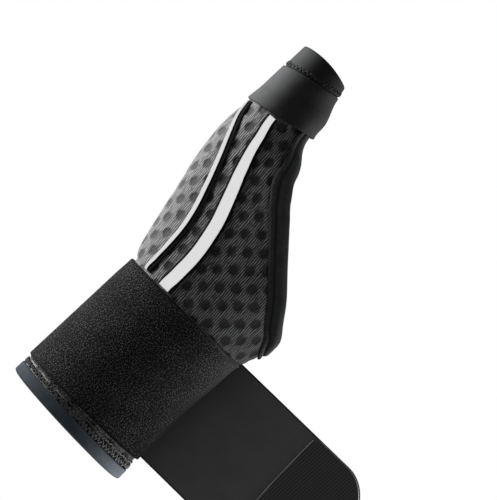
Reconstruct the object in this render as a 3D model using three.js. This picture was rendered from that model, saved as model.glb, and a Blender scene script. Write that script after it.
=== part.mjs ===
// Thumb spica splint for a left wrist and thumb, in the form it has when it is worn, with its strap
// brought once round the wrist and the strap's end still free.
//
// +X runs from the forearm end to the thumb end, +Z points to the thumb side and -Y to the palm side.
// The origin is the middle of the wrist, under the middle of the strap. Lengths are millimetres,
// angles run round the X axis from the thumb side: 0 is the thumb side, -90 degrees the palm side.

import * as THREE from 'three';
import { LoftGeometry } from 'three/addons/geometries/LoftGeometry.js';
import { mergeVertices } from 'three/addons/utils/BufferGeometryUtils.js';

// Lengths along X: the strap, the sleeve on both sides of it, the hand opening and the thumb tube.
const strapWidth = 64;
const forearmMargin = 10.5;
const heelMargin = 16;
const openingLength = 79;
const thumbTubeLength = 26.9;

// Oval sections of the sleeve: half widths run along Z and half depths along Y. The heel's two
// half widths run to the thumb side and to the little-finger side.
const forearmHalfWidth = 33.4;
const forearmHalfDepth = 24;
const wristHalfWidth = 33.3;
const wristHalfDepth = 22.5;
const wristWaist = 1.6;
const heelThumbWidth = 39.8;
const heelLittleWidth = 39;
const heelHalfDepth = 23;
const thumbBaseHalfWidth = 14.9;
const thumbBaseHalfDepth = 15.6;
const thumbEndHalfWidth = 12.15;
const thumbEndHalfDepth = 12.2;

// The thumb tube's middle lies this far to the thumb side of the wrist's middle, and to the palm side.
const thumbBaseHeight = 35.7;
const thumbEndHeight = 38.45;
const thumbForward = 4;
const thumbRimBow = 1.3;

// Cloth: the sleeve's spacer mesh, the folded edge tape, the thumb band and the strap.
const sleeveWall = 2.5;
const tapeThickness = 0.8;
const bandThickness = 1.2;
const strapThickness = 1.6;
const tabThickness = 1.2;
const backingThickness = 0.4;
const stripeThickness = 0.3;

// Every piece keeps this gap to what it lies on, a folded tape a little more to the wall inside it.
// The two layers of a stripe and the tab on the strap lie closer.
const clearance = 0.3;
const tapeGap = 0.4;
const layerGap = 0.25;

// Widths of the tapes over the sleeve's edges, seen from outside and from inside. The thumb hem is
// narrowest on the web side.
const forearmTapeWidth = 5;
const forearmTapeInside = 5;
const hemWidth = 4.8;
const hemInside = 6;
const palmRollWidth = 4.7;
const palmFlangeWidth = 2.9;
const palmTapeInside = 5;
const palmRollPuff = 0.6;

// The thumb band lies askew: its lower edge is farther out on the web side, this much to each side of
// its middle. Over the palm tape at the web it is lifted, and the lift fades out along the band.
const bandWebGap = 0.4;
const bandSkew = 3.65;
const bandLiftMargin = 1;
const bandLiftFade = 12;

// The strap starts on the palm side near the little-finger edge, goes over the thumb side and
// leaves the back of the wrist straight. Its end is half an ellipse.
const strapStartAngle = -172;
const strapLeaveAngle = 105;
const strapSlant = 1.3;
const tailLength = 119.7;
const tailDrift = 3.2;
const tailRoundLength = 23.6;
const tabLength = 41.6;
const tabTilt = 2.6;
const tabInset = 0.5;

// Reflective stripes: the full width of the silver, and the black tape that shows beside it.
const wideStripeWidth = 5.8;
const wideStripeBorder = 1.2;
const narrowStripeWidth = 2.1;
const narrowStripeBorder = 2.1;
const narrowOuterBorder = 0.4;
const stripeTopGap = 1.2;

// How finely the cloth is divided. The strap's rounded tip is cut off straight at the last angle.
const columns = 36;
const cuffRows = 6;
const heelRows = 4;
const openingRows = 18;
const thumbRows = 5;
const thumbRowCrowding = 1.5;
const bandRows = 5;
const foldSteps = 5;
const palmTapeSteps = 4;
const strapRows = 7;
const wrapSteps = 28;
const tailSteps = 4;
const roundSteps = 8;
const tipAngle = 84;
const tabRows = 6;
const stripeSteps = 20;
const weldDistance = 1e-3;

// Places along X that follow from the lengths above.
const strapEdge = strapWidth / 2;
const forearmEnd = -strapEdge - forearmMargin;
const openingStart = strapEdge + heelMargin;
const web = openingStart + openingLength;
const thumbEnd = web + thumbTubeLength;
const bandLength = thumbTubeLength + bandWebGap - clearance - hemWidth;
const palmTapeWidth = palmRollWidth + palmFlangeWidth;

// From the forearm end to the strap's far edge: flare takes the wrist's size toward the forearm's,
// waist draws in the little-finger side. along is the share of the way.
const cuffTable = [
  { along: 0, flare: 1, waist: 0 },
  { along: 0.28, flare: 0.45, waist: 0.55 },
  { along: 0.57, flare: 0, waist: 1 },
  { along: 0.84, flare: 0, waist: 0.55 },
  { along: 1, flare: 0, waist: 0.1 },
];

// From the strap's edge to the hand opening: the mesh that the strap pressed flat swells to the heel.
const heelTable = [
  { along: 0.11, thumbSwell: 0.24, littleSwell: 0.26 },
  { along: 0.27, thumbSwell: 0.46, littleSwell: 0.46 },
  { along: 0.56, thumbSwell: 0.7, littleSwell: 0.7 },
];

// Along the hand opening: thumbSide, littleSide and depth are shares of the way from the heel's
// outline to the thumb base's. littleSide first runs the other way, round the edge of the palm.
const handTable = [
  { along: 0, thumbSide: 0, littleSide: 0, depth: 0 },
  { along: 0.156, thumbSide: 0.3, littleSide: -0.109, depth: 0.01 },
  { along: 0.27, thumbSide: 0.505, littleSide: -0.15, depth: 0.03 },
  { along: 0.375, thumbSide: 0.725, littleSide: -0.129, depth: 0.1 },
  { along: 0.478, thumbSide: 0.9, littleSide: -0.067, depth: 0.19 },
  { along: 0.586, thumbSide: 1.035, littleSide: 0.067, depth: 0.32 },
  { along: 0.668, thumbSide: 1.112, littleSide: 0.239, depth: 0.45 },
  { along: 0.77, thumbSide: 1.131, littleSide: 0.535, depth: 0.62 },
  { along: 0.892, thumbSide: 1.065, littleSide: 0.87, depth: 0.855 },
];

// Along the thumb tube: taper is the share of the way from the tube's base to its end.
const thumbTable = [
  { along: 0, taper: 0 },
  { along: 0.33, taper: 0.27 },
  { along: 0.69, taper: 0.65 },
  { along: 1, taper: 1 },
];

// Half the angle that the hand opening takes out of each section, in degrees, from the heel (way 0)
// to the web (way 1). way follows a half circle, so that both ends of the opening are round.
const openingTable = [
  { way: 0, spread: 0 },
  { way: 0.16, spread: 22 },
  { way: 0.25, spread: 42.5 },
  { way: 0.34, spread: 57.5 },
  { way: 0.41, spread: 67 },
  { way: 0.48, spread: 74 },
  { way: 0.55, spread: 78 },
  { way: 0.6, spread: 78 },
  { way: 0.67, spread: 69 },
  { way: 0.77, spread: 41 },
  { way: 0.9, spread: 17 },
  { way: 1, spread: 0 },
];

// Middle lines of the stripes on the palm side: lean is the height over the section's middle as a
// share of its half width, width a share of the stripe's full width.
const wideStripeTable = [
  { along: 0, lean: 0.44, width: 0.97 },
  { along: 0.06, lean: 0.403, width: 0.99 },
  { along: 0.12, lean: 0.387, width: 1 },
  { along: 0.18, lean: 0.378, width: 1 },
  { along: 0.24, lean: 0.389, width: 1 },
  { along: 0.3, lean: 0.409, width: 1 },
  { along: 0.37, lean: 0.433, width: 1 },
  { along: 0.49, lean: 0.464, width: 1 },
  { along: 0.6, lean: 0.491, width: 0.95 },
  { along: 0.7, lean: 0.503, width: 0.86 },
  { along: 0.8, lean: 0.467, width: 0.74 },
  { along: 0.91, lean: 0.348, width: 0.62 },
  { along: 1, lean: 0.221, width: 0.53 },
];
const narrowStripeTable = [
  { along: 0, lean: 0.785, width: 0.73 },
  { along: 0.06, lean: 0.735, width: 0.77 },
  { along: 0.1, lean: 0.72, width: 0.8 },
  { along: 0.16, lean: 0.701, width: 0.86 },
  { along: 0.21, lean: 0.693, width: 0.9 },
  { along: 0.27, lean: 0.692, width: 0.95 },
  { along: 0.33, lean: 0.698, width: 1 },
  { along: 0.45, lean: 0.723, width: 1 },
  { along: 0.56, lean: 0.746, width: 1 },
  { along: 0.66, lean: 0.776, width: 1 },
  { along: 0.76, lean: 0.812, width: 0.95 },
  { along: 0.85, lean: 0.853, width: 0.85 },
  { along: 0.92, lean: 0.903, width: 0.78 },
  { along: 1, lean: 0.945, width: 0.7 },
];

const radians = THREE.MathUtils.degToRad;
const mix = THREE.MathUtils.lerp;
const smoothstep = THREE.MathUtils.smoothstep;

// A smooth curve through the rows of a table: cubic pieces whose slopes are those between neighbours.
function curveThrough(table, from, to) {
  const slopes = table.map((row, i) => {
    const before = table[Math.max(i - 1, 0)];
    const after = table[Math.min(i + 1, table.length - 1)];
    return (after[to] - before[to]) / (after[from] - before[from]);
  });
  return (value) => {
    let i = 0;
    while (i < table.length - 2 && value > table[i + 1][from]) i += 1;
    const span = table[i + 1][from] - table[i][from];
    const t = THREE.MathUtils.clamp((value - table[i][from]) / span, 0, 1);
    const rise = t * t * (3 - 2 * t);
    const leave = t * (1 - t) * (1 - t) * span * slopes[i];
    const arrive = t * t * (t - 1) * span * slopes[i + 1];
    return mix(table[i][to], table[i + 1][to], rise) + leave + arrive;
  };
}

// The sleeve's sections in millimetres: top and bottom are the outline on the thumb side and on the
// little-finger side.
function sleeveSections() {
  const thumbBaseTop = thumbBaseHeight + thumbBaseHalfWidth;
  const thumbBaseBottom = thumbBaseHeight - thumbBaseHalfWidth;
  const cuff = cuffTable.map(({ along, flare, waist }) => {
    const width = mix(wristHalfWidth, forearmHalfWidth, flare);
    const depth = mix(wristHalfDepth, forearmHalfDepth, flare);
    return { x: mix(forearmEnd, strapEdge, along), top: width, bottom: wristWaist * waist - width, depth };
  });
  const heel = heelTable.map(({ along, thumbSwell, littleSwell }) => ({
    x: mix(strapEdge, openingStart, along),
    top: mix(wristHalfWidth, heelThumbWidth, thumbSwell),
    bottom: -mix(wristHalfWidth, heelLittleWidth, littleSwell),
    depth: mix(wristHalfDepth, heelHalfDepth, thumbSwell),
  }));
  const hand = handTable.map(({ along, thumbSide, littleSide, depth }) => ({
    x: mix(openingStart, web, along),
    top: mix(heelThumbWidth, thumbBaseTop, thumbSide),
    bottom: mix(-heelLittleWidth, thumbBaseBottom, littleSide),
    depth: mix(heelHalfDepth, thumbBaseHalfDepth, depth),
  }));
  const thumb = thumbTable.map(({ along, taper }) => {
    const height = mix(thumbBaseHeight, thumbEndHeight, taper);
    const width = mix(thumbBaseHalfWidth, thumbEndHalfWidth, taper);
    const depth = mix(thumbBaseHalfDepth, thumbEndHalfDepth, taper);
    return { x: mix(web, thumbEnd, along), top: height + width, bottom: height - width, depth };
  });
  return [...cuff, ...heel, ...hand, ...thumb];
}

const sections = sleeveSections();
const topAt = curveThrough(sections, 'x', 'top');
const bottomAt = curveThrough(sections, 'x', 'bottom');
const depthAt = curveThrough(sections, 'x', 'depth');

// A point of the sleeve's outer face: an oval in the plane at x, its middle moved to the palm side
// step by step from the strap to the web.
function facePoint(x, angle) {
  const middle = (topAt(x) + bottomAt(x)) / 2;
  const halfWidth = (topAt(x) - bottomAt(x)) / 2;
  const forward = thumbForward * smoothstep(x, strapEdge, web);
  return new THREE.Vector3(
    x,
    depthAt(x) * Math.sin(angle) - forward,
    middle + halfWidth * Math.cos(angle),
  );
}

// The outer face's slopes along x and round the angle, by small steps to both sides.
function faceSlopes(x, angle) {
  const step = 0.01;
  const alongX = facePoint(x + step, angle).sub(facePoint(x - step, angle)).divideScalar(2 * step);
  const round = facePoint(x, angle + step).sub(facePoint(x, angle - step)).divideScalar(2 * step);
  return { alongX, round };
}

function faceNormal(x, angle) {
  const { alongX, round } = faceSlopes(x, angle);
  return alongX.cross(round).normalize();
}

// A point at a height over the outer face, or under it where the height is negative.
function overFace(x, angle, height) {
  return facePoint(x, angle).addScaledVector(faceNormal(x, angle), height);
}

// Walks from a place on the face by a small vector that lies in the face.
function walk(x, angle, vector) {
  const { alongX, round } = faceSlopes(x, angle);
  const xx = alongX.dot(alongX);
  const xr = alongX.dot(round);
  const rr = round.dot(round);
  const vx = alongX.dot(vector);
  const vr = round.dot(vector);
  const det = xx * rr - xr * xr;
  return { x: x + (vx * rr - vr * xr) / det, angle: angle + (vr * xx - vx * xr) / det };
}

const spreadAt = curveThrough(openingTable, 'way', 'spread');

// The hand opening's edge: way runs from the heel to the web.
function openingEdge(way) {
  const x = mix(openingStart, web, (1 - Math.cos(Math.PI * way)) / 2);
  return { x, angle: Math.PI - radians(spreadAt(way)) };
}

// Turns a list of points and a list of triangles into one closed body.
function closedGeometry(points, triangles) {
  const geometry = new THREE.BufferGeometry();
  const numbers = points.flatMap((point) => point.toArray());
  geometry.setAttribute('position', new THREE.Float32BufferAttribute(numbers, 3));
  geometry.setIndex(triangles.flat());
  return welded(geometry);
}

// Corners that lie on each other become one, and triangles left without area go.
function welded(geometry) {
  const bare = new THREE.BufferGeometry();
  bare.setAttribute('position', geometry.getAttribute('position'));
  bare.setIndex(geometry.getIndex());
  const merged = mergeVertices(bare, weldDistance);
  const index = merged.getIndex().array;
  const kept = [];
  for (let k = 0; k < index.length; k += 3) {
    const [a, b, c] = [index[k], index[k + 1], index[k + 2]];
    if (a !== b && b !== c && c !== a) kept.push(a, b, c);
  }
  merged.setIndex(kept);
  return merged;
}

// A sheet of cloth: pointAt(row, column, side) gives its upper face (side 1) and its under face
// (side 0). Walls join the faces along the edges, but not where the first and last column meet.
function sheetGeometry(rowCount, columnCount, pointAt) {
  const points = [];
  for (const side of [0, 1]) {
    for (let i = 0; i < rowCount; i += 1) {
      for (let j = 0; j < columnCount; j += 1) points.push(pointAt(i, j, side));
    }
  }
  const at = (i, j, side) => (side * rowCount + i) * columnCount + j;
  const triangles = [];
  const quad = (a, b, c, d) => triangles.push([a, b, c], [a, c, d]);
  for (let i = 0; i < rowCount - 1; i += 1) {
    for (let j = 0; j < columnCount - 1; j += 1) {
      quad(at(i, j, 1), at(i + 1, j, 1), at(i + 1, j + 1, 1), at(i, j + 1, 1));
      quad(at(i, j, 0), at(i, j + 1, 0), at(i + 1, j + 1, 0), at(i + 1, j, 0));
    }
  }
  const last = columnCount - 1;
  const meets = (i) => points[at(i, 0, 1)].distanceTo(points[at(i, last, 1)]) < weldDistance;
  for (let i = 0; i < rowCount - 1; i += 1) {
    if (meets(i) && meets(i + 1)) continue;
    quad(at(i, 0, 0), at(i + 1, 0, 0), at(i + 1, 0, 1), at(i, 0, 1));
    quad(at(i, last, 1), at(i + 1, last, 1), at(i + 1, last, 0), at(i, last, 0));
  }
  const end = rowCount - 1;
  for (let j = 0; j < columnCount - 1; j += 1) {
    quad(at(0, j, 1), at(0, j + 1, 1), at(0, j + 1, 0), at(0, j, 0));
    quad(at(end, j, 0), at(end, j + 1, 0), at(end, j + 1, 1), at(end, j, 1));
  }
  return closedGeometry(points, triangles);
}

// A closed ring of closed sections: the last section is welded to the first.
function loopGeometry(stationCount, sectionAt) {
  const loops = [];
  for (let i = 0; i <= stationCount; i += 1) loops.push(sectionAt(i % stationCount));
  return welded(new LoftGeometry(loops));
}

// The section of a tape folded over the sleeve's edge: inset is the way in from the edge, height
// the height over the sleeve's outer face. top gives the outer face's height at an inset.
function tapeProfile(outerWidth, innerWidth, steps, top) {
  const skin = tapeGap + tapeThickness;
  const middle = -sleeveWall / 2;
  const under = -sleeveWall - tapeGap;
  const profile = [];
  for (let k = 0; k <= steps; k += 1) {
    const inset = outerWidth * (1 - k / steps);
    profile.push({ inset, height: top(inset) });
  }
  for (let k = 1; k < foldSteps; k += 1) {
    const turn = Math.PI * k / foldSteps;
    profile.push({ inset: -skin * Math.sin(turn), height: middle + (skin - middle) * Math.cos(turn) });
  }
  for (let k = 0; k <= steps; k += 1) {
    profile.push({ inset: innerWidth * k / steps, height: under - tapeThickness });
  }
  for (let k = 0; k <= steps; k += 1) {
    profile.push({ inset: mix(innerWidth, -tapeGap, k / steps), height: under });
  }
  for (let k = 0; k <= steps; k += 1) {
    profile.push({ inset: mix(-tapeGap, outerWidth, k / steps), height: tapeGap });
  }
  return profile;
}

const flatTape = () => tapeGap + tapeThickness;

function ringAngle(i, count) {
  return Math.PI * (2 * i / count - 1);
}

// Rows of the sleeve along X, each with the angle that it reaches to on both sides. One row lies
// under the strap's edge, and the thumb tube's rows are closer together near the web.
function sleeveRows() {
  const rows = [];
  const closedRow = (x) => rows.push({ x, angle: Math.PI });
  for (let k = 0; k < cuffRows; k += 1) closedRow(mix(forearmEnd, strapEdge, k / cuffRows));
  for (let k = 0; k < heelRows; k += 1) closedRow(mix(strapEdge, openingStart, k / heelRows));
  for (let k = 0; k < openingRows; k += 1) rows.push(openingEdge(k / openingRows));
  for (let k = 0; k <= thumbRows; k += 1) {
    closedRow(mix(web, thumbEnd, (k / thumbRows) ** thumbRowCrowding));
  }
  return rows;
}

// The thumb end bows outward on the palm side and on the back.
function thumbBow(x, angle) {
  const share = Math.max(0, (x - web) / thumbTubeLength);
  return thumbRimBow * share * share * Math.sin(angle) ** 2;
}

function sleeve() {
  const rows = sleeveRows();
  return sheetGeometry(rows.length, columns + 1, (i, j, side) => {
    const row = rows[i];
    const angle = row.angle * (2 * j / columns - 1);
    return overFace(row.x + thumbBow(row.x, angle), angle, side ? 0 : -sleeveWall);
  });
}

// The two end tapes run opposite ways round, because they fold over opposite ends of the sleeve.
function forearmBinding() {
  const profile = tapeProfile(forearmTapeWidth, forearmTapeInside, 1, flatTape);
  return loopGeometry(columns, (i) => profile.map(({ inset, height }) => (
    overFace(forearmEnd + inset, -ringAngle(i, columns), height)
  )));
}

// The thumb band's lower edge. The band has one length all round, and the hem begins where it ends.
function bandLower(angle) {
  return web - bandWebGap - bandSkew * (1 + Math.cos(angle));
}

function thumbHem() {
  return loopGeometry(columns, (i) => {
    const angle = ringAngle(i, columns);
    const edge = thumbEnd + thumbBow(thumbEnd, angle);
    const width = edge - bandLower(angle) - bandLength - clearance;
    const profile = tapeProfile(width, hemInside, 1, flatTape);
    return profile.map(({ inset, height }) => overFace(edge - inset, angle, height));
  });
}

// Round the hand opening: the palm-side edge from heel to web, then the back edge from web to heel.
function openingLoop() {
  const count = 2 * openingRows;
  const places = [];
  for (let i = 0; i < count; i += 1) {
    const palmSide = i <= openingRows;
    const { x, angle } = openingEdge(palmSide ? i / openingRows : 2 - i / openingRows);
    places.push({ x, angle: palmSide ? -angle : angle });
  }
  return places.map((place, i) => {
    const before = places[(i + count - 1) % count];
    const after = places[(i + 1) % count];
    const tangent = facePoint(after.x, after.angle).sub(facePoint(before.x, before.angle)).normalize();
    const inward = faceNormal(place.x, place.angle).cross(tangent).normalize();
    return { ...place, inward, corner: facePoint(place.x, place.angle) };
  });
}

const openingStations = openingLoop();

// The palm tape is a puffed roll along the edge, then a stitched groove, then a flat flange.
function palmTapeTop(inset) {
  const puff = inset < palmRollWidth ? Math.sin(Math.PI * inset / palmRollWidth) : 0;
  return tapeGap + tapeThickness + palmRollPuff * puff;
}

function palmBinding() {
  const profile = tapeProfile(palmTapeWidth, palmTapeInside, palmTapeSteps, palmTapeTop);
  return loopGeometry(openingStations.length, (i) => profile.map(({ inset, height }) => {
    const { x, angle, inward } = openingStations[i];
    const place = walk(x, angle, inward.clone().multiplyScalar(inset));
    return overFace(place.x, place.angle, height);
  }));
}

// How far the thumb band is lifted over the palm tape where the two cross at the web.
function bandLift(x, angle) {
  const point = facePoint(x, angle);
  const distance = Math.min(...openingStations.map(({ corner }) => corner.distanceTo(point)));
  const full = palmTapeWidth + bandLiftMargin;
  const share = 1 - smoothstep(distance, full, full + bandLiftFade);
  return share * (tapeGap + tapeThickness + palmRollPuff);
}

function thumbBand() {
  return sheetGeometry(bandRows + 1, columns + 1, (i, j, side) => {
    const angle = ringAngle(j, columns);
    const x = bandLower(angle) + bandLength * i / bandRows;
    return overFace(x, angle, clearance + bandLift(x, angle) + side * bandThickness);
  });
}

// The strap where it lies on the wrist: across runs from -1 at its forearm edge to 1, height counts
// from its under face. It goes round a little askew.
function strapPoint(angle, across, height, halfWidth) {
  const slant = -strapSlant * Math.cos(angle);
  return overFace(slant + across * halfWidth, angle, clearance + height);
}

const leaveAngle = radians(strapLeaveAngle);
const leaveRound = faceSlopes(0, leaveAngle).round.setX(0).normalize();
const drift = new THREE.Vector3(Math.tan(radians(tailDrift)), 0, 0);
const tailDirection = leaveRound.clone().add(drift).normalize();

// The tail at a distance past the leaving line. The end narrows as half an ellipse.
function tailPoint(distance, across, height, inset) {
  const roundStart = tailLength - tailRoundLength;
  const share = THREE.MathUtils.clamp((distance - roundStart) / (tailRoundLength - inset), 0, 1);
  const halfWidth = (strapEdge - inset) * Math.sqrt(1 - share * share);
  return strapPoint(leaveAngle, across, height, halfWidth).addScaledVector(tailDirection, distance);
}

// Distances along the tail's round end, closer together toward the tip.
function roundStations(inset) {
  const stations = [];
  for (let k = 0; k <= roundSteps; k += 1) {
    const turn = radians(tipAngle) * k / roundSteps;
    stations.push(tailLength - tailRoundLength + (tailRoundLength - inset) * Math.sin(turn));
  }
  return stations;
}

function wristStrap() {
  const stations = [];
  for (let k = 0; k < wrapSteps; k += 1) {
    stations.push({ turn: radians(mix(strapStartAngle, strapLeaveAngle, k / wrapSteps)) });
  }
  for (let k = 0; k < tailSteps; k += 1) {
    stations.push({ distance: (tailLength - tailRoundLength) * k / tailSteps });
  }
  roundStations(0).forEach((distance) => stations.push({ distance }));
  return sheetGeometry(strapRows + 1, stations.length, (i, j, side) => {
    const across = 2 * i / strapRows - 1;
    const { turn, distance } = stations[j];
    if (distance === undefined) return strapPoint(turn, across, side * strapThickness, strapEdge);
    return tailPoint(distance, across, side * strapThickness, 0);
  });
}

// The hook tab lies on the tail's under face and has the tail's outline, a little smaller. Its
// straight edge is sewn on a little askew.
function hookTab() {
  const start = tailLength - tabLength;
  const stations = [start, ...roundStations(tabInset)];
  return sheetGeometry(tabRows + 1, stations.length, (i, j, side) => {
    const across = 2 * i / tabRows - 1;
    const distance = j === 0 ? start - tabTilt * across : stations[j];
    return tailPoint(distance, across, -layerGap - (1 - side) * tabThickness, tabInset);
  });
}

// A stripe on the palm side of the sleeve. The two borders widen it beyond its own width.
function stripe(table, fullWidth, outerBorder, innerBorder, bottom, thickness) {
  const leanAt = curveThrough(table, 'along', 'lean');
  const widthAt = curveThrough(table, 'along', 'width');
  const start = strapEdge + clearance;
  const topAngle = -Math.acos(leanAt(1));
  const stop = bandLower(topAngle) - stripeTopGap;
  const places = [];
  for (let i = 0; i <= stripeSteps; i += 1) {
    const share = i / stripeSteps;
    places.push({ x: mix(start, stop, share), angle: -Math.acos(leanAt(share)) });
  }
  const across = [-1, 0, 1];
  return sheetGeometry(places.length, across.length, (i, j, side) => {
    const place = places[i];
    const before = places[Math.max(i - 1, 0)];
    const after = places[Math.min(i + 1, stripeSteps)];
    const tangent = facePoint(after.x, after.angle).sub(facePoint(before.x, before.angle)).normalize();
    const outward = faceNormal(place.x, place.angle).cross(tangent).normalize();
    const half = fullWidth * widthAt(i / stripeSteps) / 2;
    const reach = mix(-half - innerBorder, half + outerBorder, (across[j] + 1) / 2);
    const spot = walk(place.x, place.angle, outward.multiplyScalar(reach));
    return overFace(Math.max(spot.x, start), spot.angle, bottom + side * thickness);
  });
}

const backingBottom = clearance;
const stripeBottom = backingBottom + backingThickness + layerGap;

const materials = {
  mesh: { color: 0x1d1e20, roughness: 0.9, metalness: 0 },
  tape: { color: 0x2a2e33, roughness: 0.7, metalness: 0 },
  band: { color: 0x202225, roughness: 0.6, metalness: 0 },
  pile: { color: 0x151516, roughness: 1, metalness: 0 },
  hook: { color: 0x1e1e1e, roughness: 0.5, metalness: 0 },
  backing: { color: 0x0e0e0f, roughness: 0.7, metalness: 0 },
  silver: { color: 0xe0e0e2, roughness: 0.4, metalness: 0 },
};

const splint = new THREE.Group();

function addPiece(name, geometry, material) {
  const mesh = new THREE.Mesh(geometry, new THREE.MeshStandardMaterial(materials[material]));
  mesh.name = name;
  splint.add(mesh);
}

addPiece('sleeve', sleeve(), 'mesh');
addPiece('forearm_binding', forearmBinding(), 'tape');
addPiece('palm_binding', palmBinding(), 'tape');
addPiece('thumb_hem', thumbHem(), 'tape');
addPiece('thumb_band', thumbBand(), 'band');
addPiece('wrist_strap', wristStrap(), 'pile');
addPiece('hook_tab', hookTab(), 'hook');
addPiece('wide_backing', stripe(
  wideStripeTable, wideStripeWidth, wideStripeBorder, wideStripeBorder, backingBottom, backingThickness,
), 'backing');
addPiece('wide_stripe', stripe(
  wideStripeTable, wideStripeWidth, 0, 0, stripeBottom, stripeThickness,
), 'silver');
addPiece('narrow_backing', stripe(
  narrowStripeTable, narrowStripeWidth, narrowOuterBorder, narrowStripeBorder, backingBottom, backingThickness,
), 'backing');
addPiece('narrow_stripe', stripe(
  narrowStripeTable, narrowStripeWidth, 0, 0, stripeBottom, stripeThickness,
), 'silver');

export default splint;
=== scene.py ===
# %% [markdown]
# # A thumb spica splint, dressed in Blender
#
# The splint is a soft sleeve that holds a wrist and a thumb still. Its cloth is a thick spacer mesh,
# its edges are bound with tape, and a wide strap goes round the wrist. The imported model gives
# the solids and the place of every piece. This lesson makes the cloth surfaces that lie there:
# finer meshes from the same formulas, stitches, and a finish for each kind of cloth.

import bmesh
import bpy
import numpy as np
from mathutils import Matrix, Vector


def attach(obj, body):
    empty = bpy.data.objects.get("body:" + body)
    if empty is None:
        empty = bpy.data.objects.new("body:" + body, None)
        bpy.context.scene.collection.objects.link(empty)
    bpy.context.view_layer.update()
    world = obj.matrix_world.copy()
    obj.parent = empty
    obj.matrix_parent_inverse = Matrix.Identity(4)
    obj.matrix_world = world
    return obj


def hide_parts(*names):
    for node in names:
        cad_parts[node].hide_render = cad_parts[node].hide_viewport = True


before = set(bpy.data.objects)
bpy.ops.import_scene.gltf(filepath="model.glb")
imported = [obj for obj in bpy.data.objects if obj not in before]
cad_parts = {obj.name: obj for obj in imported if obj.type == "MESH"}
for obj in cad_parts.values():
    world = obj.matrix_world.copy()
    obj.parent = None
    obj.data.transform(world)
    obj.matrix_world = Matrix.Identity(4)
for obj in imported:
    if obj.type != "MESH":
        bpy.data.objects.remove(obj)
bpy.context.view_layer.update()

print("CAD nodes:", ", ".join(sorted(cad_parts)))

# %% [markdown]
# ## Sizes
#
# A splint is cut from flat cloth, so its sizes are lengths along X, half widths and depths of its
# oval sections, and cloth thicknesses. All of them are millimetres here, and a piece is turned
# into metres only when its mesh is made. X runs to the thumb end, Z to the thumb side, -Y to the
# palm side.

# %% Name the sizes
MM = 0.001
strap_width, forearm_margin, heel_margin = 64, 10.5, 16
opening_length, thumb_tube_length = 79, 26.9
sleeve_wall, tape_thickness, band_thickness = 2.5, 0.8, 1.2
strap_thickness, tab_thickness, backing_thickness, film_thickness = 1.6, 1.2, 0.4, 0.3
clearance, tape_gap, layer_gap = 0.3, 0.4, 0.25

strap_edge = strap_width / 2
forearm_end = -strap_edge - forearm_margin
opening_start = strap_edge + heel_margin
web = opening_start + opening_length
thumb_end = web + thumb_tube_length
print(f"sleeve from x = {forearm_end} to {thumb_end:.1f} mm")

# %% [markdown]
# ## Sections along the sleeve
#
# The outline of a fitted sleeve has no formula, so it is a short table of sections with a smooth
# curve through them. A curve through few points keeps its ease between them, where straight pieces
# would show as facets on cloth that catches light. The columns are the place along X, the outline on
# the thumb side (top) and on the little-finger side (bottom), and the half depth.

# %% Draw smooth curves through a table
sections = np.array([
    # x, top, bottom, half depth
    [-42.5, 33.4, -33.4, 24],
    [-21.64, 33.345, -32.465, 23.175],
    [-0.035, 33.3, -31.7, 22.5],
    [20.08, 33.3, -32.42, 22.5],
    [32, 33.3, -33.14, 22.5],
    [33.76, 34.86, -34.782, 22.62],
    [36.32, 36.29, -35.922, 22.73],
    [40.96, 37.85, -37.29, 22.85],
    [48, 39.8, -39, 23],
    [60.324, 43.04, -45.518, 22.926],
    [69.33, 45.254, -47.97, 22.778],
    [77.625, 47.63, -46.714, 22.26],
    [85.762, 49.52, -43.007, 21.594],
    [94.294, 50.978, -34.993, 20.632],
    [100.772, 51.81, -24.708, 19.67],
    [108.83, 52.015, -7.007, 18.412],
    [118.468, 51.302, 13.026, 16.673],
    [127, 50.6, 20.8, 15.6],
    [135.877, 50.6, 22.285, 14.682],
    [145.561, 50.6, 24.375, 13.39],
    [153.9, 50.6, 26.3, 12.2],
])


def curve_through(knots, values):
    """Cubic pieces between neighbouring knots; each knot's slope is that of its two neighbours' chord."""
    knots, values = np.asarray(knots, float), np.asarray(values, float)
    last = len(knots) - 1
    before, after = np.maximum(np.arange(last + 1) - 1, 0), np.minimum(np.arange(last + 1) + 1, last)
    slopes = (values[after] - values[before]) / (knots[after] - knots[before])

    def curve(at):
        i = np.clip(np.searchsorted(knots, at, side="left") - 1, 0, last - 1)
        span = knots[i + 1] - knots[i]
        t = np.clip((at - knots[i]) / span, 0, 1)
        rise = t * t * (3 - 2 * t)
        bend = t * (1 - t) ** 2 * span * slopes[i] + t * t * (t - 1) * span * slopes[i + 1]
        return values[i] + (values[i + 1] - values[i]) * rise + bend

    return curve


top_at = curve_through(sections[:, 0], sections[:, 1])
bottom_at = curve_through(sections[:, 0], sections[:, 2])
depth_at = curve_through(sections[:, 0], sections[:, 3])
print(f"height of the palm's section: {top_at(60.0) - bottom_at(60.0):.1f} mm")

# %% [markdown]
# ## The face that everything lies on
#
# Tape, band, strap and stripes all lie on the sleeve's outer face, so one function of two parameters,
# x and an angle round the X axis, places them all. A height over the face is measured along its
# normal, which is the cross product of the slopes along x and round the angle. Walking on the face by
# a small vector solves for the change of x and angle that makes it.


# %% Work out points, normals and walks on the face
def smooth(value, low, high):
    """0 below low, 1 above high, and 3t² - 2t³ of the share between."""
    t = np.clip((value - low) / (high - low), 0, 1)
    return t * t * (3 - 2 * t)


thumb_forward = 4


def face(x, angle):
    """An oval in the plane at x: z = middle + half width · cos, y = half depth · sin - forward shift."""
    x, angle = np.broadcast_arrays(np.asarray(x, float), np.asarray(angle, float))
    top, bottom = top_at(x), bottom_at(x)
    y = depth_at(x) * np.sin(angle) - thumb_forward * smooth(x, strap_edge, web)
    return np.stack([x, y, (top + bottom) / 2 + (top - bottom) / 2 * np.cos(angle)], -1)


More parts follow.
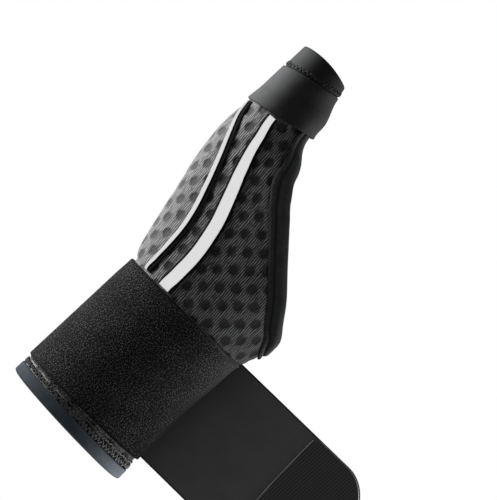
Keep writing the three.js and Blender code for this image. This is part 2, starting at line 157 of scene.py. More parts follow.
def face_slopes(x, angle, step=0.01):
    """Central differences of the face along x and round the angle."""
    along = (face(x + step, angle) - face(x - step, angle)) / (2 * step)
    around = (face(x, angle + step) - face(x, angle - step)) / (2 * step)
    return along, around


def unit(vectors):
    """Vectors divided by their lengths."""
    return vectors / np.maximum(np.linalg.norm(vectors, axis=-1, keepdims=True), 1e-12)


def face_normal(x, angle):
    """The cross product of the two slopes, made one long."""
    return unit(np.cross(*face_slopes(x, angle)))


def over_face(x, angle, height):
    """The face's point plus height times its normal."""
    return face(x, angle) + np.asarray(height, float)[..., None] * face_normal(x, angle)


def walk(x, angle, vector):
    """Solves vector = dx · slope along + dangle · slope around in the least-squares sense."""
    along, around = face_slopes(x, angle)
    dot = lambda a, b: (a * b).sum(-1)
    xx, xr, rr = dot(along, along), dot(along, around), dot(around, around)
    vx, vr = dot(along, vector), dot(around, vector)
    det = xx * rr - xr * xr
    return x + (vx * rr - vr * xr) / det, angle + (vr * xx - vx * xr) / det


print("palm side of the wrist:", face(0.0, -np.pi / 2).round(1), "mm")

# %% [markdown]
# ## From arrays to meshes
#
# Every piece is one closed body, because cloth has two faces and a cut edge. A grid of points becomes
# rows of quads. Points of different edges that fall on each other are merged afterwards, which closes
# seams and poles. The body's signed volume tells whether its faces point out, and if they don't, all
# of them are turned. Each point also carries a place on the flat cloth in millimetres, as its UV.


# %% Turn grids of points into closed pieces
def grid_quads(rows, columns, start=0):
    """Quads between neighbours: corner (i, j), (i + 1, j), (i + 1, j + 1), (i, j + 1)."""
    i, j = np.meshgrid(np.arange(rows - 1), np.arange(columns - 1), indexing="ij")
    a = (start + i * columns + j).ravel()
    return np.stack([a, a + columns, a + columns + 1, a + 1], -1)


def signed_volume(points, quads):
    """A sixth of the sum over triangles of a · (b × c)."""
    a, b, c, d = (points[quads[:, k]] for k in range(4))
    return ((a * np.cross(b, c)).sum() + (a * np.cross(c, d)).sum()) / 6


def make_piece(name, points, quads, cloth_places, finishes=(0,)):
    """Puts the arrays into a mesh in metres, merges points within 1 µm and turns its faces out."""
    if signed_volume(points, quads) < 0:
        quads = quads[:, ::-1]
    mesh = bpy.data.meshes.new(name)
    mesh.from_pydata((points * MM).tolist(), [], quads.tolist())
    corners = np.empty(len(mesh.loops), np.int32)
    mesh.loops.foreach_get("vertex_index", corners)
    layer = mesh.uv_layers.new(name="cloth")
    layer.data.foreach_set("uv", cloth_places[corners].astype(np.float32).ravel())
    if len(finishes) == len(quads):
        mesh.polygons.foreach_set("material_index", np.asarray(finishes, np.int32))
    shape = bmesh.new()
    shape.from_mesh(mesh)
    bmesh.ops.remove_doubles(shape, verts=shape.verts, dist=1e-6)
    bmesh.ops.dissolve_degenerate(shape, edges=shape.edges, dist=1e-7)
    shape.to_mesh(mesh)
    shape.free()
    mesh.polygons.foreach_set("use_smooth", np.ones(len(mesh.polygons), bool))
    piece = bpy.data.objects.new(name, mesh)
    bpy.context.scene.collection.objects.link(piece)
    triangles = sum(len(p.vertices) - 2 for p in mesh.polygons)
    size = np.ptp(points, axis=0).round(1)
    print(f"{name}: {triangles} triangles, {size[0]} x {size[1]} x {size[2]} mm")
    return piece


def cloth_sheet(name, upper, lower, places, upper_finish=0, lower_finish=0):
    """Two grids of points, faces on both, and walls along the edges where they don't already meet."""
    rows, columns = upper.shape[:2]
    count = rows * columns
    points = np.concatenate([upper.reshape(-1, 3), lower.reshape(-1, 3)])
    above = grid_quads(rows, columns)
    below = grid_quads(rows, columns, count)[:, ::-1]
    index = np.arange(count).reshape(rows, columns)
    meets = np.linalg.norm(upper[:, 0] - upper[:, -1], axis=-1) < 1e-3
    open_rows = np.nonzero(~(meets[:-1] & meets[1:]))[0]
    wall = lambda a, b: np.stack([a, b, b + count, a + count], -1)
    walls = [
        wall(index[open_rows + 1, 0], index[open_rows, 0]),
        wall(index[open_rows, -1], index[open_rows + 1, -1]),
        wall(index[0, :-1], index[0, 1:]),
        wall(index[-1, 1:], index[-1, :-1]),
    ]
    quads = np.concatenate([above, below, *walls])
    finishes = np.full(len(quads), lower_finish)
    finishes[: len(above)] = upper_finish
    cloth_places = np.tile(places.reshape(-1, 2), (2, 1))
    return make_piece(name, points, quads, cloth_places, finishes)


def closed_loop(name, rings, places):
    """Rings of points along a closed path; the last ring joins the first, and each ring its start."""
    stations, sides = rings.shape[:2]
    rings = np.concatenate([rings, rings[:1]])
    rings = np.concatenate([rings, rings[:, :1]], axis=1)
    return make_piece(name, rings.reshape(-1, 3), grid_quads(stations + 1, sides + 1), places.reshape(-1, 2))


def pairs(rows, columns):
    """A grid of pairs: the row's value and the column's."""
    return np.stack(np.broadcast_arrays(rows[:, None], columns[None, :]), -1)


def arc_lengths(points):
    """The summed distances between neighbouring points, starting at 0."""
    steps = np.linalg.norm(np.diff(points, axis=0), axis=-1)
    return np.concatenate([np.zeros_like(steps[:1]), np.cumsum(steps, axis=0)])


def edge_steps(length, pitch, rounding):
    """Places from 0 to length: even steps, and closer ones at both ends where the edge is rounded."""
    near = rounding * np.array([0, 0.08, 0.3, 0.62])
    middle = np.linspace(rounding, length - rounding, max(2, int(length / pitch)))
    return np.concatenate([near, middle, length - near[::-1]])


def rounded_half(distance, thickness):
    """Half the cloth's thickness, falling to 0 at the edge along a quarter circle."""
    t = np.clip(distance / (thickness / 2), 0, 1)
    return thickness / 2 * np.sqrt(1 - (1 - t) ** 2)


print("a strip 5 mm wide has steps at", edge_steps(5, 1, 0.4).round(2))

# %% [markdown]
# ## The sleeve
#
# The sleeve is spacer mesh 2.5 mm thick: two knitted faces with a springy layer between, pressed in
# round dimples. It could be a plain tube with a dimple picture, but a real pressed cloth also changes
# its outline and its light. Here the dimples are in the surface. They sit on a lattice in the cloth's
# own flat coordinates: x, and the arc length round the section from the middle of the palm side. The
# sleeve has one large opening in its side, where each row of the grid reaches less far round.

# %% Lay out the sleeve's rows and its flat cloth
opening_table = np.array([
    # way, half angle that is cut out
    [0, 0], [0.16, 22], [0.25, 42.5], [0.34, 57.5], [0.41, 67], [0.48, 74],
    [0.55, 78], [0.6, 78], [0.67, 69], [0.77, 41], [0.9, 17], [1, 0],
])
spread_at = curve_through(*opening_table.T)


def opening_edge(way):
    """x follows a half circle from heel to web; the angle is a half turn less the spread."""
    x = opening_start + opening_length * (1 - np.cos(np.pi * way)) / 2
    return x, np.pi - np.radians(spread_at(way))


def sleeve_rows():
    """Closed rows up to the opening, rows beside it, and closed rows along the thumb tube."""
    arm = np.linspace(forearm_end, opening_start, 88, endpoint=False)
    beside = opening_edge(np.linspace(0, 1, 92, endpoint=False))
    tube = web + thumb_tube_length * np.linspace(0, 1, 26) ** 1.2
    x = np.concatenate([arm, beside[0], tube])
    reach = np.concatenate([np.full(len(arm), np.pi), beside[1], np.full(len(tube), np.pi)])
    return x, reach


thumb_rim_bow = 1.3


def thumb_bow(x, angle):
    """The rim bows out on the palm side and on the back: bow · share² · sin²."""
    return thumb_rim_bow * np.clip((x - web) / thumb_tube_length, 0, None) ** 2 * np.sin(angle) ** 2


def flat_cloth(x, angle):
    """x, and the arc length along each row from -90 degrees plus the height of that place."""
    points = face(x, angle)
    steps = np.linalg.norm(np.diff(points, axis=1), axis=-1)
    arc = np.concatenate([np.zeros((len(steps), 1)), np.cumsum(steps, axis=1)], axis=1)
    column = (-np.pi / 2 - angle[:, :1]) / (angle[:, 1:2] - angle[:, :1])
    low = np.floor(column).astype(int)
    before, after = (np.take_along_axis(arc, low + k, 1) for k in (0, 1))
    palm = before * (1 - column + low) + after * (column - low)
    middle = (top_at(x) + bottom_at(x)) / 2
    return np.stack([x, arc - palm + middle], -1)


row_x, row_reach = sleeve_rows()
columns = 204
sleeve_angle = row_reach[:, None] * np.linspace(-1, 1, columns + 1)
sleeve_x = np.broadcast_to(row_x[:, None], sleeve_angle.shape)
sleeve_x = sleeve_x + thumb_bow(sleeve_x, sleeve_angle)
sleeve_places = flat_cloth(sleeve_x, sleeve_angle)
print(f"{len(row_x)} rows of {columns} columns")

# %% [markdown]
# The lattice of the dimples leans a little, because the cloth is cut along the thumb tube and not
# along X. Its two steps, from one dimple to the nearest two, are vectors on the flat cloth. A place
# is written as a sum of those steps; what is left after taking off whole steps is the way to the
# nearest dimple.

# %% Press the dimples and make the sleeve
dimple_steps = np.array([[5.1, -5.35], [-4.9, -6.7]])
dimple_start = np.array([56.1, -7.5])
dimple_radius, dimple_depth = 2.4, 0.45
dimple_floor, dimple_rim = 0.55 * dimple_radius, 1.15 * dimple_radius


def dimple(places):
    """1 inside a dimple, 0 outside, with a soft edge, by the distance to the nearest lattice point."""
    counts = (places - dimple_start) @ np.linalg.inv(dimple_steps)
    left = (counts - np.round(counts)) @ dimple_steps
    return 1 - smooth(np.linalg.norm(left, axis=-1), dimple_floor, dimple_rim)


pressed = over_face(sleeve_x, sleeve_angle, -dimple_depth * dimple(sleeve_places))
inside = over_face(sleeve_x, sleeve_angle, -sleeve_wall)
sleeve = cloth_sheet("sleeve_cloth", pressed, inside, sleeve_places)

# %% [markdown]
# ## Folded tapes
#
# The sleeve's three edges are bound: a tape is folded over the cut edge and sewn through. Its section
# is a profile of insets from the edge and heights over the face: along the outside, round the fold,
# back inside, and home along the wall. The profile is carried along the edge. A bevelled strip would
# be quicker, but the fold's round edge is what shows, as a line of light along every rim.


# %% Write down the section of a folded tape
tape_rounding = 0.6


def tape_profile(outer_width, inner_width, top, steps=14, fold_steps=14):
    """Pairs of inset and height round the tape's section; the fold is half an ellipse over the edge."""
    skin = tape_gap + tape_thickness
    middle, under = -sleeve_wall / 2, -sleeve_wall - tape_gap
    share = np.linspace(0, 1, steps + 1)
    turn = np.pi * np.arange(1, fold_steps) / fold_steps
    out = outer_width * (1 - share)
    # The outer edge is drawn down to the cloth over its last 0.6 mm.
    thin = np.sqrt(np.clip((outer_width - out) / tape_rounding, 0, 1))
    outside = np.stack([out, tape_gap + (top(out) - tape_gap) * (0.25 + 0.75 * thin)], -1)
    fold = np.stack([-skin * np.sin(turn), middle + (skin - middle) * np.cos(turn)], -1)
    inner = np.stack([inner_width * share, np.full(steps + 1, under - tape_thickness)], -1)
    back = np.array([[inner_width, under], [-tape_gap, under], [-tape_gap, tape_gap]])
    return np.concatenate([outside, fold, inner, back])


def tape_places(profile, run):
    """Flat places: the run along the edge, and the way round the profile."""
    return pairs(run, arc_lengths(np.concatenate([profile, profile[:1]])))


flat_top = lambda inset: np.full_like(inset, tape_gap + tape_thickness)
ring = np.linspace(-np.pi, np.pi, 181)[:-1]
forearm_tape_width, tape_inside, hem_inside = 5, 5, 6
forearm_profile = tape_profile(forearm_tape_width, tape_inside, flat_top)
print(f"the forearm tape is {arc_lengths(forearm_profile)[-1] / 2:.1f} mm wide before it is folded")

# %% [markdown]
# At the forearm end the profile goes round as it is. At the thumb end the tape is narrowest on the web
# side, where the band reaches farthest out, so each station stretches the outer part of the profile
# to its own width.

# %% Carry it round the forearm end and the thumb end
forearm_x = forearm_end + forearm_profile[:, 0]
forearm_rings = over_face(forearm_x, ring[:, None], forearm_profile[:, 1])
forearm_run = arc_lengths(face(forearm_end, np.append(ring, np.pi)))
forearm_tape = closed_loop("forearm_tape", forearm_rings, tape_places(forearm_profile, forearm_run))

band_web_gap, band_skew, hem_width = 0.4, 3.65, 4.8
band_length = thumb_tube_length + band_web_gap - clearance - hem_width


def band_lower(angle):
    """The band's lower edge: farther out on the web side, by a cosine of the angle."""
    return web - band_web_gap - band_skew * (1 + np.cos(angle))


def hem_rings():
    """Each station has its own width, from the sleeve's bowed rim back to the band."""
    edge = thumb_end + thumb_bow(thumb_end, ring)
    width = edge - band_lower(ring) - band_length - clearance
    profile = tape_profile(hem_width, hem_inside, flat_top)
    outer = (profile[:, 1] > -sleeve_wall / 2) & (profile[:, 0] > 0)
    inset = profile[:, 0] * np.where(outer, (width / hem_width)[:, None], 1)
    return over_face(edge[:, None] - inset, ring[:, None], profile[:, 1]), profile


hem_points, hem_profile = hem_rings()
hem_run = arc_lengths(face(thumb_end, np.append(ring, np.pi)))
hem_tape = closed_loop("hem_tape", hem_points, tape_places(hem_profile, hem_run))

# %% [markdown]
# The tape round the large opening is a closed loop on the face: along the palm side from the heel to
# the web, and home along the back side. It is a puffed roll at the edge, a stitched groove and a flat
# flange. At each station the tape runs inward on the face, at right angles to the edge.

# %% Roll the tape round the opening
palm_roll_width, palm_flange_width, palm_roll_puff = 4.7, 2.9, 0.6
groove_depth, groove_width = 0.35, 0.5
loop_stations = 264
palm_tape_width = palm_roll_width + palm_flange_width


def opening_loop(count):
    """Edge places and inward directions: the cross product of the normal and the path's direction."""
    way = np.linspace(0, 2, count, endpoint=False)
    x, reach = opening_edge(np.where(way <= 1, way, 2 - way))
    angle = np.where(way <= 1, -reach, reach)
    corner = face(x, angle)
    tangent = unit(np.roll(corner, -1, axis=0) - np.roll(corner, 1, axis=0))
    return x, angle, corner, unit(np.cross(face_normal(x, angle), tangent))


def palm_top(inset):
    """The roll is a half sine over its width, the groove a bell curve, and the flange is flat."""
    puff = np.where(inset < palm_roll_width, np.sin(np.pi * np.clip(inset, 0, None) / palm_roll_width), 0)
    groove = groove_depth * np.exp(-((inset - palm_roll_width) / groove_width) ** 2)
    return tape_gap + tape_thickness + palm_roll_puff * puff - groove


loop_x, loop_angle, loop_corner, loop_inward = opening_loop(loop_stations)
palm_profile = tape_profile(palm_tape_width, tape_inside, palm_top, steps=26)
palm_inset = loop_inward[:, None, :] * palm_profile[:, :1]
palm_x, palm_angle = walk(loop_x[:, None], loop_angle[:, None], palm_inset)
palm_rings = over_face(palm_x, palm_angle, palm_profile[:, 1])
loop_run = arc_lengths(np.concatenate([loop_corner, loop_corner[:1]]))
palm_tape = closed_loop("palm_tape", palm_rings, tape_places(palm_profile, loop_run))
print(f"the opening is {loop_run[-1]:.0f} mm round")

# %% [markdown]
# ## The thumb band
#
# A short tube of stretch knit is pulled over the sleeve's thumb tube. It lies on the sleeve, and where
# it crosses the tape of the opening it is lifted over it and settles again farther on. The lift
# depends on the distance to the opening's edge, taken from all stations at once.

# %% Pull the thumb band over
band_lift_margin, band_lift_fade = 1, 12
band_girth_at = web + 4


def band_lift(x, angle):
    """The tape's height, fading with the distance to the nearest point of the opening's edge."""
    points = face(x, angle)
    distance = np.linalg.norm(points[..., None, :] - loop_corner[::4], axis=-1).min(-1)
    full = palm_tape_width + band_lift_margin
    return (1 - smooth(distance, full, full + band_lift_fade)) * (tape_gap + tape_thickness + palm_roll_puff)


band_steps = edge_steps(band_length, 0.7, 0.6)
band_angle = np.linspace(-np.pi, np.pi, 145)
band_x = band_lower(band_angle)[None, :] + band_steps[:, None]
band_middle = clearance + band_thickness / 2 + band_lift(band_x, band_angle)
to_edge = np.minimum(band_steps, band_length - band_steps)[:, None]
band_half = rounded_half(to_edge, band_thickness)
band_run = arc_lengths(face(band_girth_at, band_angle))
band_outside, band_inside = (over_face(band_x, band_angle, band_middle + way * band_half) for way in (1, -1))
band = cloth_sheet("band_knit", band_outside, band_inside, pairs(band_steps, band_run))

# %% [markdown]
# ## The strap
#
# The strap is elastic webbing 64 mm wide with brushed loops outside, sewn on at the little-finger
# side. It goes over the palm side and the thumb side to the back, where it leaves the wrist straight.
# Its free end is half an ellipse. One grid holds both stretches: the columns run across the width,
# the rows along the length, and past the leaving line a row's place is the leaving point plus a
# distance along the tail's direction. The two faces get different finishes.

# %% Lay the strap round the wrist
strap_start_angle, strap_leave_angle = np.radians([-172, 105])
strap_slant, tail_length, tail_drift, tail_round = 1.3, 119.7, 3.2, 23.6
start_radius = 33


def strap_point(angle, across, height, half_width):
    """On the wrist, a little askew: x = across · half width - slant · cos(angle)."""
    return over_face(across * half_width - strap_slant * np.cos(angle), angle, clearance + height)


leave_round = face_slopes(0.0, strap_leave_angle)[1] * np.array([0, 1, 1])
tail_direction = unit(unit(leave_round) + np.array([np.tan(np.radians(tail_drift)), 0, 0]))


def tail_point(distance, across, height, inset):
    """The leaving point moved along the tail; the half width narrows as an ellipse at the end."""
    share = np.clip((distance - tail_length + tail_round) / (tail_round - inset), 0, 1)
    half_width = (strap_edge - inset) * np.sqrt(1 - share**2)
    leave = strap_point(strap_leave_angle, across, height, half_width)
    return leave + distance[..., None] * tail_direction


def strap_grid():
    """Across shares in columns, closer near the edges; turns on the wrist and distances on the tail."""
    across = edge_steps(strap_width, 1.15, strap_thickness / 2) / strap_edge - 1
    share = np.linspace(0, 1, 136, endpoint=False)
    turns = strap_start_angle + (strap_leave_angle - strap_start_angle) * share
    turns = np.concatenate([turns[:1] + np.array([0, 0.002, 0.007, 0.014]), turns[1:]])
    straight = np.linspace(0, tail_length - tail_round, 62, endpoint=False)
    end = tail_length - tail_round + tail_round * np.sin(np.linspace(0, np.pi / 2, 26))
    return across, turns, np.concatenate([straight, end])


def strap_faces(side):
    """Upper (side 1) or lower (side -1) face, its edges rounded by the distance to the nearest one."""
    across, turns, distances = strap_grid()
    from_side = (1 - np.abs(across))[None, :] * strap_edge
    from_start = ((turns - turns[0]) * start_radius)[:, None]
    wrap_half = np.minimum(*(rounded_half(far, strap_thickness) for far in (from_side, from_start)))
    wrap = strap_point(turns[:, None], across, strap_thickness / 2 + side * wrap_half, strap_edge)
    from_tip = (tail_length - distances)[:, None]
    tail_half = np.minimum(*(rounded_half(far, strap_thickness) for far in (from_side, from_tip)))
    tail = tail_point(distances[:, None], across, strap_thickness / 2 + side * tail_half, 0.0)
    return np.concatenate([wrap, tail])


def strap_places():
    """Flat places: millimetres across the width, and the length from the sewn end."""
    across, turns, distances = strap_grid()
    wrap_run = arc_lengths(face(0.0, turns))
    leave = wrap_run[-1] + np.linalg.norm(face(0.0, turns[-1]) - face(0.0, strap_leave_angle))
    run = np.concatenate([wrap_run, leave + distances])
    return pairs(run, across * strap_edge)[..., ::-1]


strap_uv = strap_places()
strap = cloth_sheet("strap_pile", strap_faces(1), strap_faces(-1), strap_uv, upper_finish=0, lower_finish=1)
print(f"the strap is {strap_uv[..., 1].max():.0f} mm long when it lies flat")

# %% [markdown]
# ## The hook tab
#
# A rounded tab of hook tape is sewn on the inner face of the strap's end; pressed on the loops, it
# closes the splint. Moulded hooks stand in rows across the strap. At this distance the rows read as
# fine ribs, so the face is a wave along the tab's length, with each rib a little rounder than it is
# deep. Single hooks would be thousands of small parts for the same look.

# %% Make the ribbed tab
tab_length, tab_tilt, tab_inset, tab_corner = 41.6, 2.6, 0.5, 3.5
rib_pitch, rib_height = 1.35, 0.22


def tab_grid():
    """Rows along the tab from its tilted, round-cornered start to the tip; columns across."""
    start = tail_length - tab_length
    across = edge_steps(strap_width, 1.6, 0.8) / strap_edge - 1
    share = np.concatenate([[0, 0.001, 0.004, 0.01], np.linspace(0.02, 1, 150)])
    near_side = np.clip((np.abs(across) - 1 + tab_corner / strap_edge) / (tab_corner / strap_edge), 0, 1)
    corner = tab_corner * (1 - np.sqrt(1 - near_side**2))
    first = start - tab_tilt * across + corner
    last = tail_length - tail_round + (tail_round - tab_inset) * 0.999
    # Steps follow a sine near the tip, so that its round outline stays smooth.
    eased = np.where(share < 0.45, share, 0.45 + 0.55 * np.sin((share - 0.45) / 0.55 * np.pi / 2))
    return across, first[None, :] + (last - first)[None, :] * eased[:, None]


tab_across, tab_distance = tab_grid()
tab_columns = np.broadcast_to(tab_across[None, :], tab_distance.shape)
tab_edge = np.minimum(tab_distance - tab_distance[:1], (1 - np.abs(tab_columns)) * strap_edge + 0.05)
# The ribs end in a smooth rim, 2.7 mm inside the outline on the round side.
rim = np.minimum(strap_edge * (1 - np.abs(tab_columns)), tail_length - tab_distance)
rib = 1 - (0.5 - 0.5 * np.cos(2 * np.pi * tab_distance / rib_pitch)) * smooth(rim, 1.8, 3.2)
tab_drop = np.minimum(rounded_half(tab_edge, tab_thickness) * 2, tab_thickness) - rib_height * (1 - rib)
tab_lower = tail_point(tab_distance, tab_columns, -layer_gap - np.maximum(tab_drop, 0.02), tab_inset)
tab_upper = tail_point(tab_distance, tab_columns, -layer_gap, tab_inset)
tab_places = np.stack([tab_columns * strap_edge, tab_distance], -1)
tab = cloth_sheet("tab_hooks", tab_upper, tab_lower, tab_places)
print(f"about {tab_length / rib_pitch:.0f} ribs")

# %% [markdown]
# ## Reflective stripes
#
# Two bands of silver film on black tape swing along the thumb side. Each has a middle line on the
# face and a width that changes along it, in a table. Across the line, a stripe is laid by walking on
# the face at right angles to the line, so it follows the sleeve's curve and keeps its true width.

# %% Lay the stripes
wide_table = np.array([
    # share of the length, lean to the thumb side, share of the full width
    [0, 0.44, 0.97], [0.06, 0.403, 0.99], [0.12, 0.387, 1], [0.18, 0.378, 1], [0.24, 0.389, 1],
    [0.3, 0.409, 1], [0.37, 0.433, 1], [0.49, 0.464, 1], [0.6, 0.491, 0.95], [0.7, 0.503, 0.86],
    [0.8, 0.467, 0.74], [0.91, 0.348, 0.62], [1, 0.221, 0.53],
])
narrow_table = np.array([
    [0, 0.785, 0.73], [0.06, 0.735, 0.77], [0.1, 0.72, 0.8], [0.16, 0.701, 0.86], [0.21, 0.693, 0.9],
    [0.27, 0.692, 0.95], [0.33, 0.698, 1], [0.45, 0.723, 1], [0.56, 0.746, 1], [0.66, 0.776, 1],
    [0.76, 0.812, 0.95], [0.85, 0.853, 0.85], [0.92, 0.903, 0.78], [1, 0.945, 0.7],
])
wide_width, wide_border = 5.8, 1.2
narrow_width, narrow_outer, narrow_inner = 2.1, 0.4, 2.1
stripe_top_gap, stripe_rounding = 1.2, 4
backing_bottom = clearance
film_bottom = backing_bottom + backing_thickness + layer_gap


def stripe_piece(name, table, full_width, outer_border, inner_border, bottom, thickness):
    """A strip between two borders beside a middle line; angle = -acos(lean), x runs evenly."""
    lean, width = curve_through(table[:, 0], table[:, 1]), curve_through(table[:, 0], table[:, 2])
    start = strap_edge + clearance
    stop = band_lower(-np.arccos(lean(1.0))) - stripe_top_gap
    share = np.linspace(0, 1, 150)
    x, angle = start + (stop - start) * share, -np.arccos(lean(share))
    line = face(x, angle)
    tangent = unit(np.gradient(line, axis=0))
    outward = unit(np.cross(face_normal(x, angle), tangent))
    half = full_width * width(share) / 2
    across = np.array([0, 0.03, 0.12, 0.3, 0.5, 0.7, 0.88, 0.97, 1])
    low, high = -half - inner_border, half + outer_border
    reach = low[:, None] + (high - low)[:, None] * across
    spot_x, spot_angle = walk(x[:, None], angle[:, None], outward[:, None, :] * reach[..., None])
    # Where the strap's edge cuts the end off, points go along the line until they reach that edge.
    short = np.maximum(start - spot_x, 0) / np.maximum(tangent[:, :1], 0.3)
    spot_x, spot_angle = walk(spot_x, spot_angle, tangent[:, None, :] * short[..., None])
    spot_x = np.maximum(spot_x, start)
    middle = bottom + thickness / 2
    lift = rounded_half(np.minimum(across, 1 - across) * stripe_rounding, thickness)
    upper, lower = (over_face(spot_x, spot_angle, middle + side * lift) for side in (1, -1))
    return cloth_sheet(name, upper, lower, np.stack([arc_lengths(line)[:, None] + 0 * reach, reach], -1))


wide_tape = stripe_piece("wide_tape", wide_table, wide_width, wide_border, wide_border,
                         backing_bottom, backing_thickness)
wide_film = stripe_piece("wide_film", wide_table, wide_width, 0, 0, film_bottom, film_thickness)
narrow_tape = stripe_piece("narrow_tape", narrow_table, narrow_width, narrow_outer, narrow_inner,
                           backing_bottom, backing_thickness)
narrow_film = stripe_piece("narrow_film", narrow_table, narrow_width, 0, 0, film_bottom, film_thickness)

# %% [markdown]
# ## Stitches
#
# Overlock seams hold the tapes. Their thread swings to and fro across the tape's edge, steps back a
# little at each turn, and so leaves a row of small soft lumps. It could be a picture on the tape, but
# lumps catch the light at the outline, and that is where they show. So a seam is one long thread: a
# tube round a looping path. No two loops of a real seam are alike, so each swing gets a
# small change of its own.


# %% Sew the overlock seams
random = np.random.default_rng(7)


def thread(name, path, normal, radius, sides=5):
    """Rings of radius · (cos · normal + sin · side), with side at right angles to path and normal."""
    tangent = unit(np.roll(path, -1, axis=0) - np.roll(path, 1, axis=0))
    side = unit(np.cross(tangent, normal))
    normal = np.cross(side, tangent)
    turn = 2 * np.pi * np.arange(sides) / sides
    rings = path[:, None, :] + radius * (
        np.cos(turn)[None, :, None] * normal[:, None, :] + np.sin(turn)[None, :, None] * side[:, None, :]
    )
    run = arc_lengths(np.concatenate([path, path[:1]]))
    return closed_loop(name, rings, pairs(run, np.append(turn, 2 * np.pi)))


def looping(run, pitch, swing, samples=10):
    """Along = t + 0.3 · sin 2t + shift, sideways = swing · sin t · change, one shift and change a loop."""
    loops = int(round(run / pitch))
    t = 2 * np.pi * np.arange(loops * samples) / samples
    place = np.arange(loops * samples) / samples
    change, shift = (np.interp(place, np.arange(loops), random.uniform(low, high, loops), period=loops)
                     for low, high in ((0.45, 1.0), (-0.3, 0.3)))
    along = (t / (2 * np.pi) + 0.3 * np.sin(2 * t) / np.pi + shift) / loops
    return along, swing * change * np.sin(t), change * (0.5 + 0.5 * np.cos(2 * t))


def ring_seam(name, x_at, pitch, swing, height, radius):
    """A looping seam round a closed section; the angle comes from the arc length by interpolation."""
    angles = np.linspace(-np.pi, np.pi, 721)
    run = arc_lengths(face(x_at(angles), angles))
    along, aside, lift = looping(run[-1], pitch, swing)
    angle = np.interp(along % 1 * run[-1], run, angles)
    x = x_at(angle) + aside
    return thread(name, over_face(x, angle, height + 0.2 * lift), face_normal(x, angle), radius)


forearm_seam = ring_seam("forearm_overlock", lambda angle: forearm_end + 6.5,
                         pitch=2.1, swing=1.45, height=0.5, radius=0.48)
forearm_chain = ring_seam("forearm_chain", lambda angle: forearm_end + 9.0,
                          pitch=2.3, swing=0.5, height=0.3, radius=0.36)
hem_seam = ring_seam("hem_coverstitch", lambda angle: band_lower(angle) + band_length + 1.9,
                     pitch=2.0, swing=1.1, height=1.1, radius=0.34)


def palm_seam():
    """The same loops along the opening's edge, half sunk in the tape's flange."""
    along, aside, lift = looping(loop_run[-1], pitch=2.1, swing=0.75)
    at = along % 1 * loop_run[-1]
    way = np.interp(at, loop_run, np.linspace(0, 2, len(loop_run)))
    x, reach = opening_edge(np.where(way <= 1, way, 2 - way))
    angle = np.where(way <= 1, -reach, reach)
    closing = lambda values: np.concatenate([values, values[:1]])
    inward = np.stack([np.interp(at, loop_run, closing(loop_inward[:, k])) for k in range(3)], -1)
    x, angle = walk(x, angle, unit(inward) * (palm_roll_width + 1.7 + aside)[:, None])
    return thread("palm_overlock", over_face(x, angle, 1.0 + 0.15 * lift), face_normal(x, angle), 0.3)


palm_stitches = palm_seam()

# %% [markdown]
# ## Finishes
#
# Black cloth is never one flat black: its weave breaks the light into ribs and specks, and brushed
# fibres glow where the face turns away. So each cloth gets a pattern in its own flat millimetres for
# colour and for bump, a low specular level, and sheen. A small class keeps the node graphs short.


